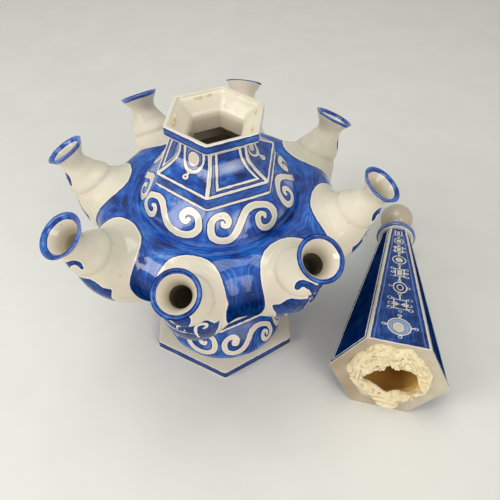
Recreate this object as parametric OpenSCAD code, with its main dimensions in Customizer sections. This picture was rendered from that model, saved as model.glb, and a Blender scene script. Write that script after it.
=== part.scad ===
// Tulipiere: a glazed faience vase with eight flower spouts round its body.
// Its six-sided spire, which stands on the neck, is taken off and laid beside it.
// Millimetres, +Z up, with the origin on the table under the axis of the vase.
// The front corner of every six-sided piece faces -Y, apart from a small turn.

/* [Plinth] */
// Corner radius of the six-sided plinth
plinth_r = 75; // [70:0.5:90]
// Height of the plinth
plinth_h = 9; // [5:0.5:16]
// How far the plinth is turned about the axis
plinth_turn = 6.9; // [-12:0.1:12]

/* [Foot] */
// Radius of the foot dome where it stands on the plinth
foot_r = 58.4; // [53:0.2:60]
// Corner radius of the six-sided top of the foot dome
foot_top_r = 49.1; // [46:0.1:54]
// Height of the foot dome
foot_dome_h = 30.6; // [20:0.2:45]
// Corner radius of the upper edge of the waist band
waist_band_r = 47.8; // [46:0.1:52]
// Height of the waist band
waist_band_h = 8.5; // [5:0.1:14]
// Height of the hidden throat between the waist band and the body
waist_h = 5.9; // [3:0.1:12]
// How far the foot and the waist are turned about the axis
foot_turn = 2.5; // [-12:0.1:12]

/* [Body] */
// Largest radius of the body between two spouts
body_r = 99.5; // [94:0.5:110]
// Radius of the body where it stands on the waist
waist_r = 44; // [42:0.2:46]
// Height of the widest part above the underside of the body
belly_h = 94; // [84:0.5:110]
// Height from the widest part to the groove round the shoulder
belly_to_groove = 22.3; // [18:0.2:28]
// Radius of the groove round the shoulder
groove_r = 62.5; // [58:0.2:68]
// Thickness of the fired clay walls
wall = 5.5; // [4:0.1:6.5]

/* [Shoulder and neck] */
// Height of the shoulder dome
shoulder_h = 24.5; // [16:0.1:36]
// Corner radius of the six-sided top of the shoulder dome
shoulder_top_r = 49.4; // [46:0.1:54]
// Corner radius of the upper edge of the neck band
neck_band_r = 47.8; // [46:0.1:52]
// Height of the neck band
neck_band_h = 9.2; // [5:0.1:14]
// Corner radius of the neck at its narrowest
neck_r = 28; // [26.5:0.1:34]
// Height of the hollow-curved neck panels
neck_panel_h = 23; // [16:0.1:34]
// Corner radius of the collar round the mouth
collar_r = 38.8; // [36:0.1:46]
// Height of the flare under the collar
collar_flare_h = 8.2; // [5:0.1:14]
// Height of the upright side of the collar
collar_h = 7.1; // [5:0.1:12]
// Width of the flat rim on top of the collar
rim_w = 3; // [1.5:0.1:4]
// How far the shoulder, neck and collar are turned about the axis
neck_turn = -1.7; // [-12:0.1:12]

/* [Spouts] */
// Elevation of the spout axes above level, degrees
spout_tilt = 59.5; // [54:0.5:64]
// How far the groove of a spout stands out beyond the body
spout_out = 7.5; // [4:0.1:10]
// Height of the groove of a spout above the widest part of the body
spout_up = 18; // [12:0.1:24]
// How far the ring of spouts is turned about the axis
spout_turn = -4.3; // [-10:0.1:10]
// Length of a spout from its groove to its lip
spout_len = 34; // [28:0.2:42]
// Outer radius of a spout at its lip
lip_r = 16.7; // [14:0.1:19]
// Outer radius of a spout at its waist
spout_waist_r = 11.6; // [11:0.1:13]
// Outer radius of a spout just above its groove
spout_bulb_r = 18.2; // [17.5:0.1:20]
// Radius of the stem bore in a spout
bore_r = 7.4; // [6:0.1:8]
// Length of the straight stem bore
bore_len = 14; // [10:0.5:16]
// Largest radius of the bulbous spout root
root_r = 25.5; // [24:0.1:27]
// Half length of the bulbous spout root
root_len = 44; // [42:0.5:46]
// Distance of the widest part of the root below the groove
root_drop = 31.5; // [30:0.5:33]
// Radius of the hole through the body wall behind each spout
hole_r = 9; // [6:0.5:12]

/* [Spire] */
// Corner radius of the spire at its base
spire_r = 51.6; // [46:0.1:56]
// Corner radius of the spire under its collar
spire_top_r = 17.2; // [15:0.1:20]
// Height of the six-sided shaft with its base plate
spire_h = 189.8; // [160:0.2:220]
// Thickness of the base plate
base_plate_h = 6; // [4:0.5:9]
// Radius of the hole in the base plate
base_hole_r = 25.5; // [20:0.5:28]
// Radius of the round collar on top of the shaft
spire_collar_r = 21.2; // [20.5:0.1:24]
// Thickness of the round collar
spire_collar_h = 9; // [6:0.1:12]
// Radius of the stem between the collar and the ball
stem_r = 9; // [6:0.5:12]
// Visible height of the stem
stem_h = 10; // [8:0.5:14]
// Radius of the ball finial
ball_r = 18.3; // [15:0.1:19]

/* [Spire on the table] */
// Where the middle of the lower base edge lies, to the right of the axis
spire_x = 151.7; // [150:0.1:200]
// Where the middle of the lower base edge lies, behind the axis
spire_y = -90.3; // [-110:0.1:-80]
// Heading of the spire, degrees from the +Y direction
spire_heading = -8.7; // [-16:0.1:-4]

/* [Plaster] */
// Mean outer radius of the broken plaster bed
bed_r = 37; // [34:0.1:40]
// Mean thickness of the plaster bed
bed_h = 4.5; // [3:0.1:7]
// Radius of the round plaster crumbs left in the mouth
crumb_r = 4; // [2.5:0.1:4.5]

/* [Hidden] */
SPOUTS = 8;
SIDES = 6;
CORNER = 360 / SIDES;
FLAT = cos(CORNER / 2);
FRONT = -90;
STEPS = 10;
ROUND_STEPS = 48;
$fn = 96;

// Gap for the clay slip that sticks a spout to the body
lute = 0.2;
// Small overshoot that lets a cut pass its faces
past = 1;

// Heights of the joins, from the table up
foot_z = plinth_h;
waist_z = foot_z + foot_dome_h;
throat_z = waist_z + waist_band_h;
body_z = throat_z + waist_h;
belly_z = body_z + belly_h;
groove_z = belly_z + belly_to_groove;
neck_z = groove_z + shoulder_h;
panel_z = neck_z + neck_band_h;
collar_z = panel_z + neck_panel_h;
collar_side_z = collar_z + collar_flare_h;
rim_z = collar_side_z + collar_h;

// Handle lengths of the curves that draw the body
cone_share = [0.56, 0.47];
belly_handle = 20;
brow_handle = 13;
brow_r = groove_r + 22.5;
brow_rise = 9.7;
// Direction square to the cone under the belly
cone_out = [0.815, -0.58];

// Handles of the hollow neck panels: in along the foot, down along the top
panel_foot_handle = [11.5, 6];
panel_top_handle = 14;
// Inner corner radius of the throat at its narrowest
throat_r = neck_r - wall / FLAT;
// Steps of the mouth inside the collar, as drops below the rim
mouth_step = 1.1;
mouth_ledge_w = 4;
mouth_ledge_drop = 3.2;
mouth_slope_drop = 10;
// How far the foot of the mouth's slope stands out from the throat
mouth_slope_toe = 2;

// Shape of the nozzle: its flare above the waist, and its fullest place above the groove
flare_h = 10;
nozzle_waist = spout_len - flare_h;
nozzle_full = 3;
// Handles of the nozzle curve, as shares of the flare, then as lengths along the axis
flare_handles = [0.6, 0.4];
nozzle_handles = [6, 9];
// Thickness of the lip, and how far above the waist the funnel turns into the bore
lip_w = 2.6;
funnel_above_waist = 2;
funnel_end = nozzle_waist + funnel_above_waist;
bore_end = funnel_end - bore_len;
// How far the cutter of a wall hole reaches on each side of the wall
hole_reach = 3 * wall;

// Every spout was stuck on by hand: each one's place out or in, and up or down
spout_reach = [0, -5, 2, -3, 0, 0, 0, 4];
spout_rise = [-2, 1, 0, -2, 0, 1, 1, 1];

// The spire lies on the edge of its base and on its ball, or else on its collar
spire_apothem = spire_r * FLAT;
collar_tube = spire_collar_h / 2;
collar_mid_s = spire_h + collar_tube;
ball_s = spire_h + spire_collar_h + stem_h + ball_r;
drop_on_ball = lying_drop(spire_apothem, ball_s, ball_r);
drop_on_collar = lying_drop(
    spire_apothem - spire_collar_r + collar_tube, collar_mid_s, collar_tube);
spire_drop = min(drop_on_ball, drop_on_collar);

// Places of the crumbs in the mouth, as turns from the front corner
crumb_turns = [69, 109, 200, 216, 272, 289];

// Wandering of the broken plaster bed: each wave has a height, a count and a turn
bed_edge_waves = [[1.6, 3, 20], [1.2, 7, 0], [0.8, 11, 50]];
bed_hole_waves = [[1.0, 5, 70], [0.7, 9, 0]];
bed_depth_waves = [[0.9, 4, 10], [0.6, 10, 0]];
// Gap between the base hole and the plaster, and the slopes of its inner and outer edges
bed_clear = 1.2;
bed_slopes = [1, 1.5];

SPOUT_NAMES = [for (i = [1:SPOUTS]) str("spout_", i)];

// Angle of a line from the base edge that just touches a circle farther along
function lying_drop(rise, along, r) =
    acos(r / sqrt(rise * rise + along * along)) - atan2(along, rise);

// Points on a cubic curve through four control points
function curve(p, n = STEPS) = [
    for (i = [0:n])
        let (t = i / n, s = 1 - t)
        s * s * s * p[0] + 3 * s * s * t * p[1] + 3 * s * t * t * p[2] + t * t * t * p[3]
];

// Sum of a few waves round a ring
function wander(waves, a) = [for (w = waves) w[0] * sin(w[1] * a + w[2])] * [for (w = waves) 1];

// Points of a list from the last to the first
function backward(p) = [for (i = [len(p) - 1:-1:0]) p[i]];

// Radius of a six-sided outline with corner radius r, at an angle from a corner
function six_r(r, a) = r * FLAT / cos((a % CORNER) - CORNER / 2);

// One level ring of a six-sided piece
function six_ring(r, z, turn) = [
    for (i = [0:SIDES - 1])
        let (a = FRONT + turn + i * CORNER)
        [r * cos(a), r * sin(a), z]
];

// One level ring of a dome that is round below and six-sided above
function dome_ring(low_r, top_r, z, t, turn, inset) = [
    for (i = [0:ROUND_STEPS - 1])
        let (
            a = i * 360 / ROUND_STEPS,
            top = six_r(top_r, a),
            r = top + (low_r - top) * cos(90 * t) - inset
        )
        [r * cos(a + FRONT + turn), r * sin(a + FRONT + turn), z]
];

// Skin of the body from its underside to the shoulder groove, moved in by inset
function body_skin(inset) =
    let (
        span = body_r - waist_r,
        foot = [waist_r - inset, body_z + inset],
        cone = [waist_r + cone_share[0] * span, body_z + cone_share[1] * belly_h] - inset * cone_out,
        under = [body_r - inset, belly_z - belly_handle],
        widest = [body_r - inset, belly_z],
        side = [body_r - inset, belly_z + brow_handle],
        brow = [brow_r, groove_z + brow_rise - inset],
        groove = [groove_r, groove_z - inset]
    )
    concat(curve([foot, cone, under, widest]), curve([widest, side, brow, groove]));

// Outside of a spout in its own frame: radius, and distance above its groove
function spout_skin() =
    let (
        lip = [lip_r, spout_len],
        waist = [spout_waist_r, nozzle_waist],
        full = [spout_bulb_r, nozzle_full],
        under_lip = lip - (lip - waist) * flare_handles[0],
        over_waist = waist + [0, flare_h * flare_handles[1]]
    )
    concat(
        curve([lip, under_lip, over_waist, waist]),
        curve([waist, waist - [0, nozzle_handles[0]], full + [0, nozzle_handles[1]], full]),
        root_skin(root_r, root_len));

// The bulbous root below the groove, an ellipse turned about the spout axis
function root_skin(r, l) =
    let (top = asin(min(root_drop / l, 1)))
    [
        for (i = [0:2 * STEPS])
            let (u = top - i * (top + 90) / (2 * STEPS))
            [r * cos(u), l * sin(u) - root_drop]
    ];

// A closed tube through rings of equally many points, last ring back to the first
module tube(rings) {
    n = len(rings[0]);
    m = len(rings);
    polyhedron(
        points = [for (ring = rings) each ring],
        faces = [
            for (j = [0:m - 1], i = [0:n - 1])
                let (a = j * n, b = ((j + 1) % m) * n, k = (i + 1) % n)
                each [[a + i, b + i, b + k], [a + i, b + k, a + k]]
        ]);
}

// A hollow dome, round below and six-sided above
module dome(low_r, top_r, z, h, turn) {
    levels = [for (i = [0:STEPS]) i / STEPS];
    tube(concat(
        [for (t = levels) dome_ring(low_r, top_r, z + h * t, t, turn, 0)],
        [for (t = backward(levels)) dome_ring(low_r, top_r, z + h * t, t, turn, wall)]));
}

// A hollow six-sided piece from its outline of corner radius and height
module six_tube(outline, turn) {
    tube([for (p = outline) six_ring(p[0], p[1], turn)]);
}

// Moves a spout from its own frame to its place on the body
module at_spout(i) {
    rotate(FRONT + spout_turn + i * 360 / SPOUTS)
        translate([body_r + spout_out + spout_reach[i], 0, belly_z + spout_up + spout_rise[i]])
            rotate([0, 90 - spout_tilt, 0])
                children();
}

// Moves an upright spire to where it lies on the table
module lying() {
    translate([spire_x, spire_y, 0])
        rotate([0, 0, spire_heading])
            rotate([-90 - spire_drop, 0, 0])
                translate([0, -spire_apothem, 0])
                    children();
}

module plinth() {
    color("#dccdb0")
        rotate(FRONT + plinth_turn)
            difference() {
                cylinder(r = plinth_r, h = plinth_h, $fn = SIDES);
                translate([0, 0, -past])
                    cylinder(r = foot_r - wall, h = plinth_h + 2 * past);
            }
}

module foot_dome() {
    color("#2f58b8")
        dome(foot_r, foot_top_r, foot_z, foot_dome_h, foot_turn);
}

module waist() {
    inner = wall / FLAT;
    color("#22409a")
        six_tube([
            [foot_top_r, waist_z],
            [waist_band_r, throat_z],
            [waist_r, body_z],
            [waist_r - inner, body_z],
            [waist_band_r - inner, throat_z],
            [foot_top_r - inner, waist_z]
        ], foot_turn);
}

module body() {
    seat_r = groove_r - wall;
    inside = body_skin(wall);
    color("#2f58b8")
        difference() {
            rotate_extrude()
                polygon(concat(
                    [[0, body_z]],
                    body_skin(0),
                    [[seat_r, groove_z], [seat_r, groove_z - wall]],
                    backward(inside),
                    [[0, body_z + wall]]));
            for (i = [0:SPOUTS - 1])
                rotate(FRONT + spout_turn + i * 360 / SPOUTS)
                    translate([body_r - hole_reach, 0, belly_z - hole_r])
                        rotate([0, 90, 0])
                            cylinder(r = hole_r, h = 2 * hole_reach);
        }
}

module shoulder_dome() {
    color("#2f58b8")
        dome(groove_r, shoulder_top_r, groove_z, shoulder_h, neck_turn);
}

module neck() {
    inner = wall / FLAT;
    panel = curve([
        [neck_band_r, panel_z],
        [neck_band_r - panel_foot_handle[0], panel_z + panel_foot_handle[1]],
        [neck_r, collar_z - panel_top_handle],
        [neck_r, collar_z]
    ]);
    color("#2a4fae")
        six_tube(concat(
            [[shoulder_top_r, neck_z]],
            panel,
            [for (p = backward(panel)) [p[0] - inner, p[1]]],
            [[shoulder_top_r - inner, neck_z]]), neck_turn);
}

module neck_collar() {
    rim_in = collar_r - rim_w / FLAT;
    color("#e8dfc8")
        six_tube([
            [neck_r, collar_z],
            [collar_r, collar_side_z],
            [collar_r, rim_z],
            [rim_in, rim_z],
            [rim_in, rim_z - mouth_step],
            [rim_in - mouth_ledge_w, rim_z - mouth_ledge_drop],
            [throat_r + mouth_slope_toe, rim_z - mouth_slope_drop],
            [throat_r, collar_z]
        ], neck_turn);
}

module spout(i) {
    hollow = root_skin(root_r - wall, root_len - wall);
    color("#cfc9b9")
        difference() {
            at_spout(i)
                rotate_extrude()
                    polygon(concat(
                        spout_skin(),
                        backward(hollow),
                        [[bore_r, bore_end], [bore_r, funnel_end], [lip_r - lip_w, spout_len]]));
            rotate_extrude()
                polygon(concat([[0, body_z - lute]], body_skin(-lute), [[0, groove_z + lute]]));
        }
}

module spire_base() {
    rim_top_r = spire_r - (spire_r - spire_top_r) * base_plate_h / spire_h;
    color("#dccdb0")
        lying()
            difference() {
                cylinder(r1 = spire_r, r2 = rim_top_r, h = base_plate_h, $fn = SIDES);
                translate([0, 0, -past])
                    cylinder(r = base_hole_r, h = base_plate_h + 2 * past);
            }
}

module spire_shaft() {
    taper = (spire_r - spire_top_r) / spire_h;
    foot = spire_r - taper * base_plate_h;
    inner = wall / FLAT;
    color("#22409a")
        lying()
            six_tube([
                [foot, base_plate_h],
                [spire_top_r, spire_h],
                [spire_top_r - inner, spire_h],
                [foot - inner, base_plate_h]
            ], -FRONT);
}

module spire_collar() {
    tube = spire_collar_h / 2;
    color("#2f58b8")
        lying()
            translate([0, 0, spire_h])
                rotate_extrude()
                    polygon(concat(
                        [[0, 0]],
                        [for (i = [0:2 * STEPS])
                            let (u = -90 + i * 180 / (2 * STEPS))
                            [spire_collar_r - tube + tube * cos(u), tube + tube * sin(u)]],
                        [[0, spire_collar_h]]));
}

module ball_finial() {
    color("#ddd6c4")
        lying()
            translate([0, 0, spire_h + spire_collar_h]) {
                cylinder(r = stem_r, h = stem_h + ball_r);
                translate([0, 0, stem_h + ball_r])
                    sphere(r = ball_r);
            }
}

// A ring of plaster whose height and edges wander, as it was pressed and broken
module plaster_bed() {
    turns = [for (i = [0:ROUND_STEPS - 1]) i * 360 / ROUND_STEPS];
    function outer(a) = bed_r + wander(bed_edge_waves, a);
    function inner(a) = base_hole_r + bed_clear + wander(bed_hole_waves, a);
    function deep(a) = -bed_h - wander(bed_depth_waves, a);
    function around(r, a, z) = [r * cos(a), r * sin(a), z];
    color("#e6dcc6")
        lying()
            tube([
                [for (a = turns) around(inner(a), a, 0)],
                [for (a = turns) around(inner(a) + bed_slopes[0], a, deep(a))],
                [for (a = turns) around(outer(a) - bed_slopes[1], a, deep(a))],
                [for (a = turns) around(outer(a), a, 0)]
            ]);
}

module neck_plaster() {
    ledge_r = (collar_r - rim_w / FLAT) * FLAT - mouth_ledge_w / 2;
    color("#e6d9bd")
        difference() {
            for (a = crumb_turns)
                rotate(FRONT + neck_turn + a)
                    translate([six_r(ledge_r / FLAT, a), 0, rim_z - mouth_ledge_drop])
                        sphere(r = crumb_r);
            neck_collar();
        }
}

plinth();
foot_dome();
waist();
body();
shoulder_dome();
neck();
neck_collar();
for (i = [0:SPOUTS - 1])
    spout(i);
spire_shaft();
spire_base();
spire_collar();
ball_finial();
plaster_bed();
neck_plaster();
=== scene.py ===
import math

import bpy
import numpy as np
from mathutils import Matrix


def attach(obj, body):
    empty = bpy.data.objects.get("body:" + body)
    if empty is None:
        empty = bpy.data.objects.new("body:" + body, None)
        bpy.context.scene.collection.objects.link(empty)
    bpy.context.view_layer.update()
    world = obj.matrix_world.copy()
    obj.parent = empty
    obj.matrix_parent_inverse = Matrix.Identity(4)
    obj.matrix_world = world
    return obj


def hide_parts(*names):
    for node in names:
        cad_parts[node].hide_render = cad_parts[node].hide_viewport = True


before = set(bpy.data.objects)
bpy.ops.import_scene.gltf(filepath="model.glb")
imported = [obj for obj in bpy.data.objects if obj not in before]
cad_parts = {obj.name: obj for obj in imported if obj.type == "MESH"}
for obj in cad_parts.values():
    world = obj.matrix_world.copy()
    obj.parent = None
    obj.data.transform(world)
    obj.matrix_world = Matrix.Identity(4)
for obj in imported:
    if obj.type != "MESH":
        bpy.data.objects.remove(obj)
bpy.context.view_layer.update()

# Camera
# The vase was looked down on by hand from above its front corner, at about half a metre.
# Lengths here and below are in millimetres, in the frame of the part.
MM = 0.001
VIEW_TURN, VIEW_RISE, VIEW_LEAN = np.radians([4.43, 47.85, 0.46])
LOOKED_AT = np.array([26.28, -7.47, 109.63])
VIEW_DISTANCE = 473.3
NEAREST_SEEN = 10
PICTURE_PX = 500
FOCAL_PX = 538.8
SENSOR = 36.0


def placed(name, data, axes=np.eye(3), spot=(0, 0, 0)):
    """A new object in the scene at a spot, with its own x, y and z along three axes."""
    made = bpy.data.objects.new(name, data)
    bpy.context.scene.collection.objects.link(made)
    stand = Matrix.Identity(4)
    for row in range(3):
        stand[row][:3] = [axis[row] for axis in axes]
        stand[row][3] = MM * spot[row]
    made.matrix_world = stand
    return made


back = np.array([
    math.sin(VIEW_TURN) * math.cos(VIEW_RISE),
    -math.cos(VIEW_TURN) * math.cos(VIEW_RISE),
    math.sin(VIEW_RISE),
])
level = np.array([math.cos(VIEW_TURN), math.sin(VIEW_TURN), 0.0])
upward = np.cross(back, level)
right = math.cos(VIEW_LEAN) * level + math.sin(VIEW_LEAN) * upward
above = math.cos(VIEW_LEAN) * upward - math.sin(VIEW_LEAN) * level
stood = LOOKED_AT + VIEW_DISTANCE * back
camera = placed("camera", bpy.data.cameras.new("camera"), (right, above, back), stood)
camera.data.sensor_width = SENSOR
camera.data.lens = SENSOR * FOCAL_PX / PICTURE_PX
camera.data.clip_start = NEAREST_SEEN * MM
bpy.context.scene.camera = camera
bpy.context.scene.view_settings.view_transform = "Standard"


# Table and light
# A plain pale table top under a softbox, with two tall soft panels in front, to the left and right.
# Their reflections lie in the valleys between the spouts. The sky round them is an even pale grey.
def linear(code):
    """An sRGB hex colour as linear red, green, blue and alpha."""
    parts = [int(code[i:i + 2], 16) / 255 for i in (1, 3, 5)]
    return [c / 12.92 if c <= 0.04045 else ((c + 0.055) / 1.055) ** 2.4 for c in parts] + [1.0]


def node(tree, kind, inputs, stops=(), out=0, **settings):
    """Adds a node with its own settings, its colour stops, and values or links for its inputs.

    Gives the output that is asked for, or the first one, or nothing where a node has none."""
    made = tree.nodes.new("ShaderNode" + kind)
    for name, value in settings.items():
        setattr(made, name, value)
    for i, (place, code) in enumerate(stops):
        elements = made.color_ramp.elements
        stop = elements[i] if i < 2 else elements.new(place)
        stop.position = place
        stop.color = linear(code)
    for socket, value in inputs.items():
        if isinstance(value, bpy.types.NodeSocket):
            tree.links.new(value, made.inputs[socket])
        else:
            made.inputs[socket].default_value = value
    return made.outputs[out] if len(made.outputs) else None


def fresh_tree(owner):
    """The emptied node tree of a new material or sky."""
    owner.use_nodes = True
    owner.node_tree.nodes.clear()
    return owner.node_tree


def all_round(count, whole=2 * math.pi):
    """Turns evenly spaced all the way round, in radians, or in the unit of the whole."""
    return np.arange(count) * whole / count


def standing(r, a, z):
    """Points at radius r, turn a in radians and height z."""
    return np.stack(np.broadcast_arrays(r * np.cos(a), r * np.sin(a), z), -1)


TABLE_R = 6000
TABLE_SIDES = 96
table_mesh = bpy.data.meshes.new("table_top")
rim = standing(TABLE_R * MM, all_round(TABLE_SIDES), 0)
table_mesh.from_pydata(rim.tolist(), [], [tuple(range(TABLE_SIDES))])
table = placed("table_top", table_mesh)

# Matt laminate: an even pale top with no gloss, so that only the soft shadow shows on it.
MOTTLE_MM = 60
laminate = bpy.data.materials.new("matt_laminate")
tree = fresh_tree(laminate)
place = node(tree, "TexCoord", {}, out="Object")
mottle = node(tree, "TexNoise", {"Vector": place, "Scale": 1 / (MOTTLE_MM * MM), "Detail": 2.0})
tint = node(tree, "ValToRGB", {"Fac": mottle}, [(0.3, "#e6e4df"), (0.7, "#eae8e4")])
matt = node(tree, "BsdfPrincipled", {"Base Color": tint, "Roughness": 0.9, "Specular IOR Level": 0.1})
node(tree, "OutputMaterial", {"Surface": matt})
table_mesh.materials.append(laminate)

SKY_LIGHT = 0.36
SKY_SEEN = 0.65
world = bpy.data.worlds.new("studio")
bpy.context.scene.world = world
tree = fresh_tree(world)
seen = node(tree, "LightPath", {}, out="Is Camera Ray")
for ray in ("Is Glossy Ray", "Is Transmission Ray"):
    seen = node(tree, "Math", {0: seen, 1: node(tree, "LightPath", {}, out=ray)}, operation="MAXIMUM")
strength = node(tree, "MapRange", {"Value": seen, "To Min": SKY_LIGHT, "To Max": SKY_SEEN})
sky = node(tree, "Background", {"Color": linear("#f6f5f2"), "Strength": strength})
node(tree, "OutputWorld", {"Surface": sky})

# Each lamp: where it hangs, its width and height, its power in watts and its colour.
LAMPS = {
    "softbox_overhead": ((-150, 150, 1500), (900, 900), 7.1, "#f1faf5"),
    "panel_right": ((781, -1000, 742), (620, 1300), 8.3, "#fdfaf3"),
    "panel_left": ((-1017, -587, 913), (560, 860), 9.5, "#fdfaf3"),
}
LIT = np.array([0, 0, 150])
for name, (spot, size, power, code) in LAMPS.items():
    lamp = bpy.data.lights.new(name, "AREA")
    lamp.shape = "RECTANGLE"
    lamp.size = size[0] * MM
    lamp.size_y = size[1] * MM
    lamp.energy = power
    lamp.color = linear(code)[:3]
    out = np.array(spot) - LIT
    out = out / np.linalg.norm(out)
    side = np.cross([0, 0, 1], out)
    side = side / np.linalg.norm(side)
    hung = placed(name, lamp, (side, np.cross(out, side), out), spot)
    hung.visible_camera = False


# Plinth
# A six-sided slab of earthenware under the hollow foot, cut from a slab, with edges wiped round.
# Its top is left cream, and a blue band is painted round its side.

# FLAT is the radius to the middle of a six-sided piece's side, as a share of its corner radius. FRONT
# is the turn of the front in degrees. WHITE is a distance from the paint that is surely bare.
FLAT = math.cos(math.radians(30))
FRONT = -90
WHITE = -20.0


def six(corner_r, turns, crisp):
    """Radius of a six-sided outline with softened corners, at turns in degrees from a corner."""
    sides = sum(np.abs(np.cos(np.radians(turns - 30 - 60 * k))) ** crisp for k in range(3))
    return corner_r * FLAT * sides ** (-1 / crisp)


def level_rings(radii, heights, turns, turned):
    """Points of level rings from their radii (ring by turn) and heights, counted from the front."""
    return standing(radii, np.radians(turns + FRONT + turned), np.asarray(heights, float)[:, None])


def lumps(points, size, seed):
    """Smooth seeded lumps from -1 to 1 over points, each about size mm wide."""
    p = np.asarray(points, float) / size
    low = np.floor(p).astype(np.int64)
    f = p - low
    f = f * f * (3 - 2 * f)
    total = 0.0
    for corner in np.ndindex(2, 2, 2):
        x, y, z = np.moveaxis(low + np.array(corner), -1, 0)
        # Large primes scatter the values of neighbouring places.
        mixed = (x * 73856093) ^ (y * 19349663) ^ (z * 83492791) ^ (seed * 2654435761)
        mixed = (mixed ^ (mixed >> 13)) * 1274126177
        value = ((mixed ^ (mixed >> 16)) & 0xFFFF) / 32767.5 - 1
        share = np.prod(np.where(np.array(corner) == 1, f, 1 - f), axis=-1)
        total = total + value * share
    return total


# Tin glaze over cobalt brushwork on cream earthenware: a thick glossy glass with a slight swell,
# cream where it is bare, and blue where cobalt was brushed on in streaks with darker drawn outlines.
LINE_MM = 1.0
STREAK_MM = 1.7
BRISTLE_MM = 0.7
SWELL_MM = 9
POOL_MM = 15
CREAM_MM = 38
SPECKS_APART_MM = 10
WOBBLE_MM = 5
GLASS_IOR = 1.56
BLUE_LINE = "#0a2c78"
BLUE_HEAVY_AND_SHADE = "#061438"
BLUE_THIN = "#a5b9dd"
BLUE_STOPS = [(0.18, "#031c55"), (0.36, "#073789"), (0.50, "#1250af"), (0.66, "#2a6ac3"), (0.92, "#5f97d4")]
CREAM_STOPS = [(0.32, "#d9d3bd"), (0.50, "#e0d6c4"), (0.66, "#e6dac9")]
CREAM_BESIDE_PAINT = "#f1ede3"
IRON = "#5a4630"
SOIL_AND_SHADE = "#937a55"

glaze = bpy.data.materials.new("tin_glaze_over_cobalt")
tree = fresh_tree(glaze)
place = node(tree, "TexCoord", {}, out="Object")
bare, wash, raw = [node(tree, "Attribute", {}, out="Fac", attribute_name=field)
                   for field in ("bare", "wash", "raw")]
brush = node(tree, "Attribute", {}, out="Vector", attribute_name="brush")

# The hand that drew the edges was not quite steady.
wobble = node(tree, "TexNoise", {"Vector": place, "Scale": 1 / (WOBBLE_MM * MM), "Detail": 1.0})
unsteady = node(tree, "MapRange", {"Value": wobble, "To Min": -0.5, "To Max": 0.5})
edge = node(tree, "Math", {0: bare, 1: unsteady}, operation="ADD")
painted = node(tree, "MapRange", {"Value": edge, "From Min": -0.15, "From Max": 0.2},
               interpolation_type="SMOOTHSTEP")
past_line = node(tree, "MapRange", {"Value": edge, "From Min": 0.6 * LINE_MM, "From Max": 1.5 * LINE_MM},
                 interpolation_type="SMOOTHSTEP")

# Cobalt is strong where the brush was full and thin where it ran dry, with the lines of its bristles.
streak = node(tree, "TexNoise", {"Vector": brush, "Scale": 1 / STREAK_MM, "Detail": 3.0, "Roughness": 0.6})
bristle = node(tree, "TexNoise", {"Vector": brush, "Scale": 1 / BRISTLE_MM, "Detail": 2.0})
pool = node(tree, "TexNoise", {"Vector": place, "Scale": 1 / (POOL_MM * MM), "Detail": 3.0})
flow = -0.625
for uneven, weight in ((streak, 1.05), (bristle, 0.3), (pool, 0.9)):
    flow = node(tree, "Math", {0: uneven, 1: weight, 2: flow}, operation="MULTIPLY_ADD")
blue = node(tree, "ValToRGB", {"Fac": flow}, BLUE_STOPS)
# Negative wash is heavy cobalt, and also blue painted darker as painted shade, low on the bowl and on the
# spire's side panels.
heavy_and_shade = node(tree, "Math", {0: wash, 1: -1.0}, operation="MULTIPLY")
for share, code in ((wash, BLUE_THIN), (heavy_and_shade, BLUE_HEAVY_AND_SHADE)):
    blue = node(tree, "Mix", {0: share, 6: blue, 7: linear(code)}, out=2, data_type="RGBA")
ink = node(tree, "Mix", {0: past_line, 6: linear(BLUE_LINE), 7: blue}, out=2, data_type="RGBA")

# Bare glaze is cream, greyer or rosier as it lies thick or thin, paler beside the paint, with a few
# iron specks. These are drawn about a millimetre wide, so that they show.
drift = node(tree, "TexNoise", {"Vector": place, "Scale": 1 / (CREAM_MM * MM), "Detail": 3.0})
cream = node(tree, "ValToRGB", {"Fac": drift}, CREAM_STOPS)
beside_paint = node(tree, "MapRange", {"Value": edge, "From Min": -1.3, "From Max": -0.3, "To Max": 0.85})
apart = node(tree, "TexVoronoi", {"Vector": place, "Scale": 1 / (SPECKS_APART_MM * MM)}, out="Distance")
speck = node(tree, "MapRange", {"Value": apart, "From Min": 0.03, "From Max": 0.062, "To Min": 0.6,
                                "To Max": 0.0})
# Below 0, raw paints the cream darker: soil on the spire's base, and painted shade in the spouts' funnels and
# on the ball.
soil_and_shade = node(tree, "Math", {0: raw, 1: -1.0}, operation="MULTIPLY")
for share, code in ((beside_paint, CREAM_BESIDE_PAINT), (speck, IRON), (soil_and_shade, SOIL_AND_SHADE)):
    cream = node(tree, "Mix", {0: share, 6: cream, 7: linear(code)}, out=2, data_type="RGBA")
coat = node(tree, "Mix", {0: painted, 6: cream, 7: ink}, out=2, data_type="RGBA")

# Where no glaze reached, the fired clay is a rough ochre, drawn lighter than it is as painted light in
# the hollows where it shows, and painted dark deep in the bores as painted shade. Its grit is drawn
# coarser than it is, so that it shows.
GRIT_MM = 1.5
OCHRE_AND_PAINTED_LIGHT_STOPS = [(0.3, "#dfae4e"), (0.7, "#eec678")]
SHADE_IN_BORE = "#544c3b"
grit = node(tree, "TexNoise", {"Vector": place, "Scale": 1 / (GRIT_MM * MM), "Detail": 3.0})
biscuit_and_painted_light = node(tree, "ValToRGB", {"Fac": grit}, OCHRE_AND_PAINTED_LIGHT_STOPS)
skin = node(tree, "Mix", {0: raw, 6: coat, 7: biscuit_and_painted_light}, out=2, data_type="RGBA")
# Deep in the bores the clay is painted dark: painted shade.
shade_in_bore = node(tree, "Math", {0: raw, 1: 1.0}, operation="SUBTRACT")
skin = node(tree, "Mix", {0: shade_in_bore, 6: skin, 7: linear(SHADE_IN_BORE)}, out=2, data_type="RGBA")
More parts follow.
